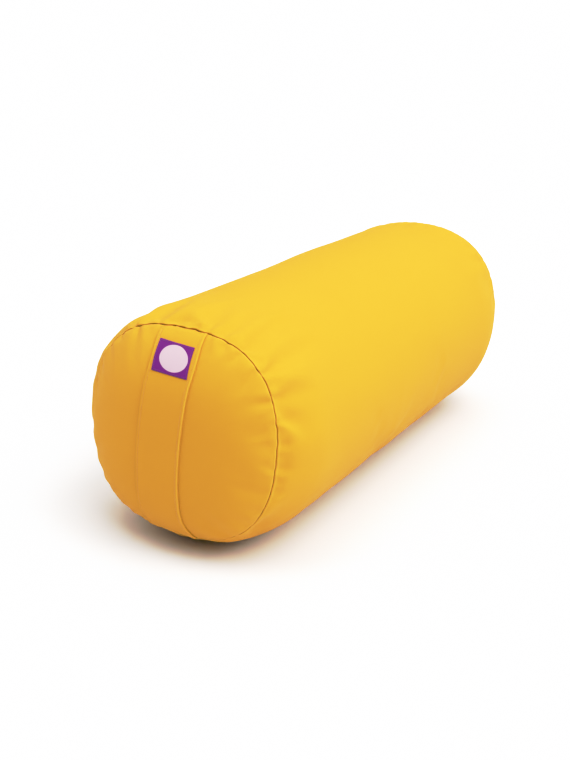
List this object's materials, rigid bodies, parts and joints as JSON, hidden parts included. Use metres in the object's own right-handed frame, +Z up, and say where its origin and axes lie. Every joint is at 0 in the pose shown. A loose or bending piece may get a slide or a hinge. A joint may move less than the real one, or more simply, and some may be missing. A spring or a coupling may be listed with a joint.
{
  "type": "yoga bolster",
  "caption": "Round filled yoga bolster lying on its side, with crowned end panels, gathered end seams, a flat cloth handle across one end and a small woven patch on it.",
  "frame": {"origin": "middle of the footprint, on the surface that the bolster lies on", "axes": "+X along the roll, from the handle end to the plain end; +Y across it; +Z up"},
  "size_m": [0.6144, 0.2438, 0.2113],
  "materials": {
    "cotton_cloth": "matte plain-weave cotton, warm yellow",
    "woven_label": "woven patch, purple with a bare pale disc"
  },
  "bodies": {
    "root": {"bolster_body": "cotton_cloth", "end_panel_handle": "cotton_cloth", "end_panel_plain": "cotton_cloth", "handle_strap": "cotton_cloth", "label": "woven_label"}
  },
  "joints": []
}
